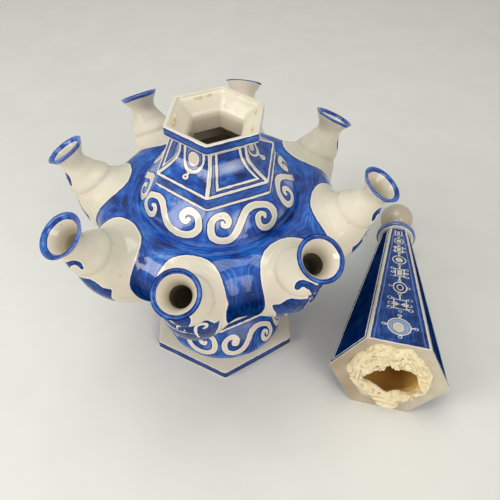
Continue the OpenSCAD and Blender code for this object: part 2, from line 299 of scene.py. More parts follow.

# The glass swells a little, is duller on bare clay, and where heavy cobalt took it up, also where the
# blue is painted darker as painted shade.
swell = node(tree, "TexNoise", {"Vector": place, "Scale": 1 / (SWELL_MM * MM), "Detail": 2.0})
relief = node(tree, "Math", {0: streak, 1: 0.05, 2: swell}, operation="MULTIPLY_ADD")
bump = node(tree, "Bump", {"Height": relief, "Strength": 0.35, "Distance": 0.7 * MM})
shine = node(tree, "MapRange", {"Value": swell, "To Min": 0.06, "To Max": 0.17})
dull = node(tree, "Math", {0: raw, 1: 0.5, 2: shine}, operation="MULTIPLY_ADD")
gloss = node(tree, "MapRange", {"Value": wash, "From Min": -0.6, "From Max": 0.0, "To Min": 0.0,
                                "To Max": 0.5})
glass = node(tree, "BsdfPrincipled", {"Base Color": skin, "Roughness": dull, "Normal": bump,
                                      "IOR": GLASS_IOR, "Specular IOR Level": gloss})
node(tree, "OutputMaterial", {"Surface": glass})

SHARP_FROM = math.radians(50)


def carried(name, mesh, finish, body):
    """Puts a mesh in the scene with its finish, riding on a body, for the solid of the same name."""
    mesh.materials.append(finish)
    piece = placed(name, mesh)
    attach(piece, body)
    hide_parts(name)


def clay(name, rings, bare, brush, wash=0.0, raw=0.0, body="vase", finish=glaze):
    """A closed piece through rings of points, the last joined to the first, with its painting.

    bare is the distance in mm from the nearest white reserve, negative inside it. brush gives the
    run of the brush strokes. wash is how thin the blue is, or how heavy where negative; negative wash
    also paints the blue darker as painted shade. raw is where the clay has no glaze, above 1 where it
    is painted dark inside as painted shade, and below 0 where the glaze is painted darker, by soil on
    the spire's base and as painted shade in the spouts' funnels and on the ball."""
    m, n = rings.shape[:2]
    at = np.arange(m * n).reshape(m, n)
    beside = np.roll(at, -1, axis=1)
    faces = np.stack([at, beside, np.roll(beside, -1, axis=0), np.roll(at, -1, axis=0)], -1).reshape(-1, 4)
    a, b, c, d = rings.reshape(-1, 3)[faces].transpose(1, 0, 2)
    volume = np.sum(a * (np.cross(b, c) + np.cross(c, d)))
    faces = faces if volume > 0 else faces[:, ::-1]
    mesh = bpy.data.meshes.new(name)
    mesh.from_pydata((rings.reshape(-1, 3) * MM).tolist(), [], faces.tolist())
    for field, values in (("bare", bare), ("wash", wash), ("raw", raw)):
        data = mesh.attributes.new(field, "FLOAT", "POINT").data
        data.foreach_set("value", np.ascontiguousarray(np.broadcast_to(values, (m, n)), np.float32).ravel())
    data = mesh.attributes.new("brush", "FLOAT_VECTOR", "POINT").data
    data.foreach_set("vector", np.ascontiguousarray(brush, np.float32).ravel())
    mesh.shade_smooth()
    mesh.set_sharp_from_angle(angle=SHARP_FROM)
    carried(name, mesh, finish, body)


PLINTH_R, PLINTH_H, PLINTH_TURN = 75.0, 9.0, 6.9
OPENING_R, UNDER_FOOT_R = 52.9, 58.0
PLINTH_UNEVEN = 0.003
BAND = (1.0, 8.9)
# The strokes of a level band are drawn out round the piece.
LEVEL_STROKES = [0.12, 0.12, 1]
# Rings up the outside: how far in from the corners, height, how crisp, and distance from the white.
plinth_side = [(0.0, z, 80, min(z - BAND[0], BAND[1] - z)) for z in np.linspace(0.9, 8.2, 14)]
plinth_rings = [(0.9, 0.0, 80, WHITE), *plinth_side, (0.3, 8.75, 80, 0.1), (1.1, PLINTH_H, 70, -1.2),
                (5.0, PLINTH_H, 60, WHITE)]
turns = all_round(480, 360)
opening = np.full_like(turns, OPENING_R)
radii = [opening, *[six(PLINTH_R - inset, turns, crisp) for inset, _, crisp, _ in plinth_rings]]
radii += [np.full_like(turns, UNDER_FOOT_R), opening]
heights = [0.0, *[z for _, z, _, _ in plinth_rings], PLINTH_H, PLINTH_H]
banded = np.array([WHITE, *[paint for _, _, _, paint in plinth_rings], WHITE, WHITE])
rings = level_rings(np.array(radii), heights, turns, PLINTH_TURN)
rings[2:-2, :, :2] *= 1 + PLINTH_UNEVEN * lumps(rings[2:-2], 16, 3)[..., None]
unglazed = np.zeros_like(banded)
unglazed[[0, 1, -1]] = 1
clay("plinth", rings, banded[:, None], rings * LEVEL_STROKES, wash=-0.42, raw=unglazed[:, None])


# Foot dome
# A hollow dome thrown round and pressed six-sided at the top, standing on the plinth.
# White S scrolls, reserved in the blue, run round it, one to each side.
def flowing(points, per_span=14):
    """Points along a smooth hand-drawn line through the given ones."""
    p = np.array(points, float)
    p = np.vstack([2 * p[0] - p[1], p, 2 * p[-1] - p[-2]])
    t = (np.arange(per_span) / per_span)[:, None]
    line = []
    for a, b, c, d in zip(p[:-3], p[1:-2], p[2:-1], p[3:]):
        line.append(0.5 * (2 * b + (c - a) * t + (2 * a - 5 * b + 4 * c - d) * t**2
                           + (3 * b - a - 3 * c + d) * t**3))
    return np.vstack([*line, p[-2:-1]])


def stroke(x, y, scale, points, half):
    """Distance from the edge of a brushed line, negative inside it. x is scaled to mm at each place."""
    line = flowing(points)
    halves = np.interp(np.linspace(0, 1, len(line)), np.linspace(0, 1, len(half)), half)
    near = np.full(np.shape(x), 1e3)
    for (lx, ly), h in zip(line, halves):
        near = np.minimum(near, np.hypot((x - lx) * scale, y - ly) - h)
    return near


def folded(turns):
    """Turn from the front corner, folded to one side of the six: scrolls mirror at every corner.

    On the four sides behind, the scrolls are drawn a little smaller."""
    fold = np.abs(np.mod(turns + 60, 120) - 60)
    return np.where((turns < 60) | (turns >= 300), fold, fold * 1.05 + 1.5)


def running(line):
    """The way along a line to each of its points."""
    return np.concatenate([[0], np.cumsum(np.hypot(*np.diff(line, axis=0).T))])


def on_first(rings, values, rest=0.0):
    """A value for each point: the given ones on the first rings, which show, and rest on the others."""
    field = np.full(rings.shape[:2], rest)
    field[:len(values)] = values
    return field


WALL = 5.5
DOME_RINGS, DOME_RINGS_INSIDE = 52, 8
# Half the width of a scroll's line from end to end.
SCROLL_HALVES = (1.4, 2.4, 2.6, 2.6, 2.6, 2.5, 2.2, 1.3)


def scrolled_dome(name, low, top, turned, scrolls, line_half, load=0.0):
    """A dome, round below and six-sided above, with S scrolls reserved in its blue.

    low and top are radius and height. The scrolls are those right and left of the front corner.
    line_half is half of the white line along the top, and load is how heavy the blue is."""
    turns = all_round(480, 360)
    t = np.concatenate([np.linspace(0, 1, DOME_RINGS), np.linspace(1, 0, DOME_RINGS_INSIDE)])[:, None]
    top_r = six(top[0], turns, 70)[None]
    radii = top_r + (low[0] - top_r) * np.cos(math.pi / 2 * t)
    radii[DOME_RINGS:] -= WALL
    heights = low[1] + (top[1] - low[1]) * t[:, 0]
    rings = level_rings(radii, heights, turns, turned)
    outer = radii[:DOME_RINGS]
    # The way up is measured halfway between a corner and the middle of a side.
    halfway = outer[:, len(turns) // 24]
    along = running(np.stack([halfway, heights[:DOME_RINGS]], 1))
    x, y = np.meshgrid(folded(turns), along)
    on_right, on_left = [stroke(x, y, np.radians(outer), scroll, SCROLL_HALVES) for scroll in scrolls]
    drawn = np.where(turns[None] < 180, on_right, on_left)
    drawn = np.minimum(drawn, np.abs(y - along[-1]) - line_half)
    # The blue is thin and patchy at the foot of the dome, and in patches above it.
    patchy = lumps(rings[:DOME_RINGS], 11, 5)
    thin_foot = np.clip((5.0 - y) / 3.5, 0, 1) * np.clip(0.3 + 0.4 * patchy, 0, 1)
    patches = np.clip(1.2 * patchy - 0.25, 0, 0.55) * (y > 8)
    thinness = thin_foot + (patches - load * np.clip(y / 6 - 0.5, 0, 1))
    # The strokes follow the scrolls.
    follow = on_first(rings, drawn + 0.25 * y)
    brush = np.stack([rings[..., 0] * 0.14, rings[..., 1] * 0.14, follow], -1)
    clay(name, rings, on_first(rings, drawn, WHITE), brush, on_first(rings, thinness))


# Each scroll: turn from the front corner in degrees, and way up the dome in mm.
FOOT_RIGHT = [(13.5, 19.5), (13.8, 16.8), (17, 16.8), (18, 20.5), (14.5, 24), (9, 24), (5, 20), (4.6, 14),
              (7, 9), (13, 6.4), (20, 8), (26, 12.5), (31, 18), (36, 23), (43, 25.5), (50, 24.5),
              (56, 20), (57.5, 13), (55, 7), (50, 5.2), (46.2, 8), (45.8, 13), (49, 16.3), (51.6, 14),
              (51, 10.5)]
FOOT_LEFT = [(14.5, 18), (16, 15.8), (19.5, 16.3), (21.3, 20), (18.5, 24), (12, 25.2), (6.5, 22.5), (5, 16),
             (6.5, 10), (12, 6.5), (20, 5.8), (28, 8), (34, 13), (39, 19), (45, 23.5), (51, 23.5),
             (56, 19), (57, 13), (54, 7.5), (49.5, 7), (46.5, 10.5), (47.5, 14.5), (50.5, 14)]
FOOT_TURN = 2.5
FOOT_LOW, FOOT_TOP = (58.4, PLINTH_H), (49.1, 39.6)
scrolled_dome("foot_dome", FOOT_LOW, FOOT_TOP, FOOT_TURN, (FOOT_RIGHT, FOOT_LEFT), line_half=0.9, load=0.22)


# Waist
# A six-sided band of clay over the foot dome, and the throat that carries the bowl.
# It is painted dark, with white lines left along its two edges.
def outline_steps(outline, step):
    """Points along straight runs of an outline, no farther apart than step."""
    p = np.array(outline, float)
    filled = [p[:1]]
    for a, b in zip(p[:-1], p[1:]):
        count = max(1, math.ceil(np.hypot(*(b - a)) / step))
        filled.append(a + (b - a) * (np.arange(1, count + 1) / count)[:, None])
    return np.vstack(filled)


def six_piece(outline, turns, turned, crisp):
    """Rings of a six-sided piece from its outline of corner radius and height."""
    radii = np.array([six(r, turns, crisp) for r, z in outline])
    return level_rings(radii, outline[:, 1], turns, turned)


BODY_Z = 54.0
WAIST_OUTSIDE = outline_steps([FOOT_TOP, (47.8, 48.1), (44.0, BODY_Z)], 0.8)
WAIST_INSIDE = np.array([(37.65, BODY_Z), (41.45, 48.1), (42.75, 39.6)])
# The white lines: height and half width.
WAIST_LINES = [(40.2, 0.5), (47.1, 1.6)]
rings = six_piece(np.vstack([WAIST_OUTSIDE, WAIST_INSIDE]), all_round(360, 360), FOOT_TURN, 70)
lined = np.minimum.reduce([np.abs(WAIST_OUTSIDE[:, 1:] - z) - half for z, half in WAIST_LINES])
clay("waist", rings, on_first(rings, lined, WHITE), rings * LEVEL_STROKES, wash=-0.45)


# Body
# A thrown bowl that holds the water, brushed blue in long strokes that follow the spout roots.
# Each root is luted on with slip, wiped into a fillet, and left white with an arch above it.
BELLY_Z, GROOVE_Z = 148.0, 170.3
BODY_R, WAIST_R, GROOVE_R = 99.5, 44.0, 62.5
SPOUT_TURNS = -4.3 + 45.0 * np.arange(8)
SPOUT_REACH = [0, -5, 2, -3, 0, 0, 0, 4]
SPOUT_RISE = [-2, 1, 0, -2, 0, 1, 1, 1]
SPOUT_OUT, SPOUT_UP, SPOUT_TILT = 7.5, 18.0, math.radians(59.5)
LIP_R, LIP_T = 16.7, 34.0
ROOT_R, ROOT_LONG, ROOT_DOWN = 25.5, 44, 31.5
FILLET = 12.0
# How far under each other's skin the bowl and a spout still follow the fillet.
TUCKED = 4
# A piece that closes on its axis ends this close to it.
ON_AXIS = 0.02


def bezier(points, count):
    """Points along a cubic curve through four control points."""
    p = np.array(points, float)
    t = np.linspace(0, 1, count)[:, None]
    s = 1 - t
    return s**3 * p[0] + 3 * s * s * t * p[1] + 3 * s * t * t * p[2] + t**3 * p[3]


def even(line, count):
    """The same line with its points evenly spaced."""
    run = running(line)
    at = np.linspace(0, run[-1], count)
    return np.stack([np.interp(at, run, line[:, k]) for k in (0, 1)], 1)


def bowl_skin(inset, count):
    """The bowl's profile, radius and height, from its underside to the shoulder groove."""
    cone = np.array([WAIST_R + 0.56 * (BODY_R - WAIST_R), BODY_Z + 0.47 * (BELLY_Z - BODY_Z)])
    cone = cone - inset * np.array([0.815, -0.58])
    widest = (BODY_R - inset, BELLY_Z)
    low = bezier([(WAIST_R - inset, BODY_Z + inset), cone, (BODY_R - inset, BELLY_Z - 20), widest], 200)
    high = bezier([widest, (BODY_R - inset, BELLY_Z + 13), (GROOVE_R + 22.5, GROOVE_Z + 9.7 - inset),
                   (GROOVE_R, GROOVE_Z - inset)], 120)
    return even(np.vstack([low, high[1:]]), count)


def spout_skin():
    """A spout's profile, radius and distance above its groove, from the lip to the root's end."""
    lip, neck, full = np.array([LIP_R, LIP_T]), np.array([11.6, 24.0]), np.array([18.2, 3.0])
    flare = bezier([lip, lip - (lip - neck) * 0.6, neck + [0, 4], neck], 40)
    nozzle = bezier([neck, neck - [0, 6], full + [0, 9], full], 60)
    u = np.linspace(math.asin(ROOT_DOWN / ROOT_LONG), -math.pi / 2, 160)
    root = np.stack([ROOT_R * np.cos(u), ROOT_LONG * np.sin(u) - ROOT_DOWN], 1)
    return np.vstack([flare, nozzle[1:], root])


def encloses(ring, x, y):
    """Whether points lie inside a closed line, by how often it is crossed on the way to them."""
    inside = np.zeros(np.shape(x), bool)
    for (x1, y1), (x2, y2) in zip(ring, np.roll(ring, -1, axis=0)):
        if y1 != y2:
            crosses = (y > min(y1, y2)) & (y <= max(y1, y2))
            inside ^= crosses & (x < x1 + (y - y1) * (x2 - x1) / (y2 - y1))
    return inside


class Turned:
    """Distance from a turned form, positive outside, kept on a grid of radius and height."""

    def __init__(self, outline, low, high, step=0.6):
        self.low, self.step = np.array(low, float), step
        r = np.arange(low[0], high[0], step)
        z = np.arange(low[1], high[1], step)
        gr, gz = np.meshgrid(r, z, indexing="ij")
        near = np.full(gr.shape, 1e6)
        for pr, pz in even(outline, 900):
            near = np.minimum(near, (gr - pr) ** 2 + (gz - pz) ** 2)
        ring = np.vstack([outline, [0, outline[-1, 1]], [0, outline[0, 1]]])
        self.grid = np.where(encloses(ring, gr, gz), -1, 1) * np.sqrt(near)

    def at(self, r, z):
        """The distance at a radius and height, between the points of the grid."""
        fr = np.clip((r - self.low[0]) / self.step, 0, self.grid.shape[0] - 1.001)
        fz = np.clip((z - self.low[1]) / self.step, 0, self.grid.shape[1] - 1.001)
        i, j = fr.astype(int), fz.astype(int)
        a, b = fr - i, fz - j
        g = self.grid
        return ((g[i, j] * (1 - b) + g[i, j + 1] * b) * (1 - a)
                + (g[i + 1, j] * (1 - b) + g[i + 1, j + 1] * b) * a)

    def slope(self, r, z):
        """How the distance grows outwards and upwards."""
        h = self.step
        return ((self.at(r + h, z) - self.at(r - h, z)) / (2 * h),
                (self.at(r, z + h) - self.at(r, z - h)) / (2 * h))

    def apart(self, points, start, down, across, axis):
        """Distance of points from the form, and the direction away from it, where it stands on an axis."""
        q = points - start
        x, y, t = q @ down, q @ across, q @ axis
        r = np.hypot(x, y)
        dr, dt = self.slope(r, t)
        flat = dr / np.maximum(r, 1e-6)
        away = (x * flat)[..., None] * down + (y * flat)[..., None] * across + dt[..., None] * axis
        return self.at(r, t), away


bowl_form = Turned(bowl_skin(0, 320), (0, 30), (150, 215))
spout_form = Turned(spout_skin(), (0, -90), (70, 60))


def spout_axes(i):
    """Where spout i starts, and its three directions: out and down, across, and along its axis."""
    turn = math.radians(FRONT + SPOUT_TURNS[i])
    out = np.array([math.cos(turn), math.sin(turn), 0])
    across = np.array([-math.sin(turn), math.cos(turn), 0])
    start = out * (BODY_R + SPOUT_OUT + SPOUT_REACH[i]) + [0, 0, BELLY_Z + SPOUT_UP + SPOUT_RISE[i]]
    down = out * math.sin(SPOUT_TILT) - np.array([0, 0, math.cos(SPOUT_TILT)])
    axis = out * math.cos(SPOUT_TILT) + np.array([0, 0, math.sin(SPOUT_TILT)])
    return start, down, across, axis


def from_bowl(points):
    """Distance of points from the bowl, and the direction away from it."""
    return bowl_form.apart(points, np.zeros(3), *np.eye(3))


def from_spout(points, i):
    """Distance of points from spout i, and the direction away from it."""
    return spout_form.apart(points, *spout_axes(i))


def filleted(points, i):
    """Moves points onto the fillet between the bowl and spout i, where they lie near both."""
    moved = points.copy()
    for _ in range(5):
        on_bowl, bowl_away = from_bowl(moved)
        on_spout, spout_away = from_spout(moved, i)
        share = np.clip(0.5 + 0.5 * (on_spout - on_bowl) / FILLET, 0, 1)
        height = on_spout + (on_bowl - on_spout) * share - FILLET * share * (1 - share)
        away = bowl_away * share[..., None] + spout_away * (1 - share[..., None])
        size = np.maximum(np.sum(away * away, -1), 0.2)
        moved = moved - (height / size)[..., None] * away
    return moved


def luted(points, apart, away, i):
    """Which points lie near the other form, and where they go, on the fillet with spout i.

    apart is the distance from the other form, and away leads off their own. Points that lie under
    the skin of the other form are tucked in a little, so that only one skin shows."""
    near = (apart > -TUCKED) & (apart < FILLET)
    under = np.clip(-apart[near], 0, TUCKED)
    tuck = np.where(under > 0, 0.08 + 0.25 * under, 0)
    return near, filleted(points[near], i) - away[near] * tuck[:, None]


# The white arch round each root: half its width, its shift to one side, and how far up the bowl
# its sides are straight.
ARCH_HALVES = [25.2, 26.0, 30.0, 28.0, 27.0, 28.0, 28.3, 26.6]
ARCH_SHIFTS = [-3.1, 0.3, 0, 0, 0, 0, 0, 0]
ARCH_STRAIGHT = (88.0, 118.0)
ARCH_RISE, ARCH_FALL = 31.5, 28.0
ARCH_TAPER = 0.05
ROOT_MARGIN = 1.8


def smooth(x, low, high):
    """A soft step from 0 at low to 1 at high."""
    t = np.clip((x - low) / (high - low), 0, 1)
    return t * t * (3 - 2 * t)


def arch(across, run, i):
    """Distance from the white arch of spout i, negative inside it. It narrows over the belly."""
    half = ARCH_HALVES[i] * (1 - ARCH_TAPER * smooth(run, 126, 102))
    above = np.maximum(run - ARCH_STRAIGHT[1], 0) / ARCH_RISE
    below = np.maximum(ARCH_STRAIGHT[0] - run, 0) / ARCH_FALL
    aside = (across - ARCH_SHIFTS[i]) / half
    return (np.hypot(aside, np.maximum(above, below)) - 1) * half


def painted_low_shade(run):
    """Low down on the bowl, where it turns under, the blue is painted darker, as painted shade."""
    return -0.7 * smooth(run, 128, 106)


def either_way(turns):
    """Turns in degrees as the shorter way to either side."""
    return np.mod(turns + 180, 360) - 180


BOWL_TURNS, BOWL_RINGS, BOWL_RINGS_INSIDE = 512, 140, 24
turns = all_round(BOWL_TURNS, 360)
outside = bowl_skin(0, BOWL_RINGS)
inside = bowl_skin(WALL, BOWL_RINGS_INSIDE)[::-1]
seat = np.array([(GROOVE_R - WALL, GROOVE_Z), (GROOVE_R - WALL, GROOVE_Z - WALL)])
floor_in = np.array([(20.0, BODY_Z + WALL), (ON_AXIS, BODY_Z + WALL), (ON_AXIS, BODY_Z), (25.0, BODY_Z)])
profile = np.vstack([outside, seat, inside, floor_in])
rings = level_rings(np.repeat(profile[:, :1], BOWL_TURNS, axis=1), profile[:, 1], turns, 0)
outer = rings[:BOWL_RINGS].copy()
run = running(outside)[:, None]
brow = outside[:, 1].argmax()
bowl_out, bowl_up, bowl_run = outside[:brow, 0], outside[:brow, 1], run[:brow, 0]
reserve = np.full(outer.shape[:2], 60.0)
_, off_bowl = from_bowl(outer)
for i, turn in enumerate(SPOUT_TURNS):
    apart, _ = from_spout(outer, i)
    near, moved = luted(outer, apart, off_bowl, i)
    rings[:BOWL_RINGS][near] = moved
    aside = np.radians(either_way(turns - turn))[None] * outside[:, :1]
    reserve = np.minimum(reserve, arch(aside, run, i))
# The strokes follow the arches, and run round the bowl above them.
turning = smooth(run, 130, 160)
follow = reserve * (1 - turning) + (0.85 * (run - 149.5) + 24) * turning
shown = rings[:BOWL_RINGS]
brush_here = rings * 0.1
brush_here[:BOWL_RINGS] = np.stack([shown[..., 0] * 0.1 + run * 0.05, shown[..., 1] * 0.1 - run * 0.05,
                                    follow], -1)
# Low down, the bowl's blue is painted darker, as painted shade.
clay("body", rings, on_first(rings, reserve, WHITE), brush_here, on_first(rings, painted_low_shade(run)))


# Spouts
# Eight stem holders, each a bulbous root, a groove and a thrown nozzle with a flared lip, left white.
# The lip has a blue band, and a pair of commas and a lappet are brushed on the underside.
# The lips were pressed a little wider or narrower by hand, and some lean to one side.
SPOUT_STEPS, SPOUT_RINGS = 132, 112
# By hand, spout by spout: the lip's width and lean, its band outside and inside, the reach and weight
# of the commas, the turn of the painting, and how much higher the lappet sits.
BY_HAND = [
    (1.0, -1.6, 3.4, 1.6, 0.2, 1.6, 0, 3.5),
    (1.03, 2.2, 3.4, 1.2, 1.0, 1.0, 0, 0),
    (1.0, 0.0, 3.2, 2.0, 1.0, 1.0, 10, 0),
    (1.0, 0.0, 3.2, 2.6, 1.0, 1.0, 0, 0),
    (1.0, 0.0, 1.9, 1.0, 1.0, 1.0, 0, 0),
    (1.0, 2.4, 4.2, 1.2, 1.0, 1.0, 0, 0),
    (0.97, 0.0, 4.6, 2.8, 1.0, 1.0, 0, 0),
    (1.07, 0.0, 4.0, 2.8, 1.0, 0.7, 0, 0),
]
# The mouth of the spout at the back is tipped away from the vase, by this many mm at its edge.
BACK_SPOUT, TIPPED = 4, 2.2
# The nozzles are pressed in on the side of the vase, by this many mm.
PRESSED = 5.2
# The painting: the turn round the spout from its underside in degrees, and the way down from the lip
# in mm. The halves are half the width of a line from end to end.
COMMA = [(57, 26), (58, 22.3), (51, 19.7), (42, 19.2), (31, 20.2), (19, 22), (8, 26.5), (0, 31)]
COMMA_HALVES = np.array([2.0, 2.9, 3.1, 3.2, 3.1, 3.0, 3.0])
STEM = [(0, 19.5), (0, 25), (0, 38)]
STEM_HALVES = (2.0, 2.8, 2.8)
LAPPET = [(0, 41), (18, 39.5), (34, 39), (46, 39.5), (53, 42.5), (55, 47), (57, 51), (66, 55.5), (58, 60.5),
          (48, 66), (42, 74), (36, 82), (26, 92), (0, 104)]
LAPPET_CURL = [(16, 58), (19, 50), (25, 45), (33, 42.3), (42, 43.2), (46, 46.5), (42, 49.3), (36, 48.6)]
CURL_HALVES = (0.9, 1.2, 1.2, 1.2, 1.0)
LAPPET_LEAF = [(6, 47), (8, 53), (12, 61), (14, 70), (9, 84)]
LEAF_HALVES = (0.6, 1.3, 1.3, 0.8)
# The two spouts in front have fine white lines in the lappet instead, and half its curls.
FRONT_CURL = [(19, 60), (19, 50), (23, 43.5), (31, 41), (40, 42), (45, 45), (42, 48), (36, 47)]
FRONT_CURL_HALVES = (0.8, 1.1, 1.2, 1.2, 1.0)
FINE_LINES = [[[(-58, 52), (-42, 47), (-20, 45), (0, 45.2), (15, 47)],
               [(-15, 43), (-15.5, 38.5), (-1, 38.2), (-1, 42.8)]],
              [[(-1, 42), (-3, 52), (0, 62), (6, 76)], [(5, 42), (4, 52), (8, 62), (14, 76)],
               [(-14, 74), (-28, 70), (-29, 64), (-15, 66)]]]
FINE_HALVES = (0.5, 0.6, 0.5)
# The blue over the lip, from its inner to its outer edge: its distance from the white, and how thin it
# is. In front it makes a double line: the pale line between is partly glaze thinning on the rounded top
# and partly a painted highlight. Elsewhere it is even.
LIP_BLUE = [1.8, 2.6, 3.0, 3.0]
FRONT_LIP = [-0.7, -0.2, 0.2, -0.4, -0.8, -0.8]
OTHER_LIP = [-0.2, 0.0, 0.1, 0.1, 0.1, 0.1]
# How far into the bore the painted shade, a dark colour, begins.
FRONT_DARK, OTHER_DARK = 13.55, 21


def within(x, y, scale, corners):
    """Distance from the edge of a painted patch, positive inside it."""
    p = np.array(corners, float)
    ring = np.vstack([p, [[-p[-1, 0], p[-1, 1]]], (p * [-1, 1])[::-1]])
    near = np.full(np.shape(x), 1e3)
    for (x1, y1), (x2, y2) in zip(ring, np.roll(ring, -1, axis=0)):
        for s in np.linspace(0, 1, 12):
            near = np.minimum(near, np.hypot((x - x1 - s * (x2 - x1)) * scale, y - y1 - s * (y2 - y1)))
    return np.where(encloses(ring, x, y), near, -near)


skin_line = spout_skin()
outside = even(skin_line, SPOUT_RINGS)
outside[0] = 16.62, 33.45
outside[-1, 0] = ON_AXIS
run = np.linspace(0, running(skin_line)[-1], SPOUT_RINGS)
funnel = bezier([(13.9, 33.6), (11.2, 29.8), (8.6, 26.5), (7.8, 20.5)], 14)
stem_hole = outline_steps([(7.75, 20.4), (7.4, 12.0), (7.2, 4.0), (ON_AXIS, 3.0)], 2)
bore = np.vstack([funnel, stem_hole])[::-1]
lip_round = np.array([(14.15, 33.7), (14.6, 33.93), (15.3, 34.0), (15.95, 33.93), (16.4, 33.75)])
profile = np.vstack([outside, bore, lip_round])
in_bore = slice(SPOUT_RINGS, -len(lip_round))
on_lip = slice(-len(lip_round), None)
into_bore = np.abs(bore[:, 1] - LIP_T)
angle = np.radians(all_round(SPOUT_STEPS, 360))
scale = np.radians(outside[:, :1])
up_nozzle = smooth(profile[:, 1], 12, 28)
pressed = PRESSED * (smooth(outside[:, 1], 1, 11) * smooth(outside[:, 1], 29, 17))[:, None]
pressed = pressed * (0.5 - 0.5 * np.cos(angle)) ** 1.2
for i, (lip, lean, band_out, band_in, reach, weight, twist, lift) in enumerate(BY_HAND):
    in_front = i < len(FINE_LINES)
    start, down, across, axis = spout_axes(i)
    sideways = np.cos(angle)[:, None] * down + np.sin(angle)[:, None] * across
    wider = 1 + (lip - 1) * up_nozzle
    leaning = lean * smooth(profile[:, 1], -6, 34)
    rings = (start + (profile[:, 0] * wider)[:, None, None] * sideways[None]
             + profile[:, 1, None, None] * axis + leaning[:, None, None] * across)
    if i == BACK_SPOUT:
        tipped = TIPPED * up_nozzle * profile[:, 0] / profile[0, 0]
        rings -= (tipped[:, None] * np.cos(angle))[..., None] * axis
    wall = rings[:SPOUT_RINGS]

    x, y = np.meshgrid(either_way(np.degrees(angle) - twist), run)
    fold = np.abs(x)
    band = 2 * (band_out + 0.9 * np.cos(angle) + 0.6 * lumps(rings[0], 9, 41) - y)
    comma = -stroke(fold, y, scale, np.array(COMMA) * [reach, 1], weight * COMMA_HALVES)
    stem = -stroke(fold, y, scale, STEM, STEM_HALVES)
    lappet = [within(x, y + lift, scale, LAPPET)]
    if in_front:
        lappet += [stroke(x, y, scale, line, FINE_HALVES) for line in FINE_LINES[i]]
    else:
        lappet.append(stroke(fold, y, scale, LAPPET_LEAF, LEAF_HALVES))
    if i == 0:
        lappet.append(stroke(x, y + lift, scale, FRONT_CURL, FRONT_CURL_HALVES))
    elif i % 2 == 0:
        lappet.append(stroke(fold, y, scale, LAPPET_CURL, CURL_HALVES))
    brushed = np.maximum.reduce([band, comma, stem, np.minimum.reduce(lappet)])

    # The root takes up the painting of the bowl where it runs out on it.
    depth, off_bowl = from_bowl(wall)
    _, off_spout = from_spout(wall, i)
    near, moved = luted(wall, depth, off_spout, i)
    turned = np.degrees(np.arctan2(wall[..., 1], wall[..., 0])) - FRONT - SPOUT_TURNS[i]
    aside = np.radians(either_way(turned)) * np.interp(wall[..., 2], bowl_up, bowl_out)
    up_bowl = np.interp(wall[..., 2], bowl_up, bowl_run)
    on_bowl = arch(aside, up_bowl, i) - ROOT_MARGIN
    low_side = (depth < 9) & (np.cos(angle) > -0.2) & (on_bowl > brushed)
    brushed = np.where(low_side, on_bowl, brushed)
    sunk = depth <= -TUCKED
    wall[sunk] -= (depth[sunk] + 2.5)[:, None] * off_bowl[sunk]
    wall[near] = moved
    wall -= pressed[..., None] * sideways[None]

    bare_here = on_first(rings, brushed, WHITE)
    bare_here[in_bore] = 2 * (band_in - into_bore)[:, None]
    bare_here[on_lip] = np.array([band_in, *LIP_BLUE])[:, None]
    over_lip = np.array(FRONT_LIP if in_front else OTHER_LIP)[:, None]
    # On a root's low side the bowl's painted shade carries on.
    patch_wash = np.where(low_side, painted_low_shade(up_bowl), -0.5)
    wash_here = on_first(rings, np.where(band > -1, over_lip[-1], patch_wash))
    wash_here[on_lip] = over_lip[:-1] + 0.15 * lumps(rings[on_lip], 7, 43)
    wash_here[0] = over_lip[-1]
    # Inside, the funnel is painted darker further in, as painted shade, and the bore is painted dark, as
    # painted shade.
    soil_and_shade = -0.3 * smooth(into_bore, 1, 11)
    raw_here = np.zeros_like(bare_here)
    raw_here[in_bore] = np.where(into_bore > (FRONT_DARK if in_front else OTHER_DARK), 2, soil_and_shade)[:, None]
    clay(f"spout_{i + 1}", rings, bare_here, rings * 0.4, wash=wash_here, raw=raw_here)


# Shoulder dome
# A second dome, luted on the groove round the bowl's shoulder, round below and six-sided on top.
# It carries the same white S scrolls as the foot, with a thin white line along its upper edge.
SHOULDER_RIGHT = [(12.2, 19.3), (13, 17), (16, 17), (17.3, 20), (14.5, 24), (9, 24.6), (4.4, 21.5), (3.6, 15),
                  (5, 9), (10, 6), (16, 6.3), (21, 10), (25, 15), (29, 20), (34, 24), (40, 25.6), (47, 25),
                  (53, 22), (55, 16), (53, 10), (48, 7), (43, 7.5), (40, 11), (40.5, 16), (44, 18.5),
                  (47, 17), (46.5, 15)]
SHOULDER_LEFT = [(14.5, 19.5), (16.5, 17), (20, 18), (21, 21), (18, 24.3), (13, 25.6), (8, 24), (5.8, 19),
                 (6.5, 13.5), (11, 9), (19, 7.3), (27, 8.5), (33, 12), (38, 16.5), (44, 21.5), (51, 23),
                 (58, 20), (60, 14.5), (57, 9), (51.5, 6.8), (46.5, 8.8), (45.8, 12.5), (48.5, 15.5),
                 (50.5, 15)]
NECK_TURN = -1.7
NECK_R, NECK_Z = 49.4, 194.8
scrolled_dome("shoulder_dome", (GROOVE_R, GROOVE_Z), (NECK_R, NECK_Z), NECK_TURN,
              (SHOULDER_RIGHT, SHOULDER_LEFT), line_half=0.8)


# Neck
# A six-sided band and hollow-curved panels, pressed in a mould, above the shoulder dome.
# White lines frame the panels, which bear by turns a hanging pendant and a plain inner frame.
PANEL_R, NECK_TOP_R = 47.8, 28
PANEL_Z, COLLAR_Z = 204.0, 227.0
# Where nothing is drawn, the next white is at least this far off.
FAR = 9.0
# The painting, in mm up the neck: the line along its foot, the line over the band, the top of the
# panels, the foot of an inner frame, and the middle of the egg in a pendant.
FOOT_LINE, BAND_LINE, PANEL_TOP, FRAME_FOOT, EGG = 0.2, 9.6, 41.4, 14.3, 33.2
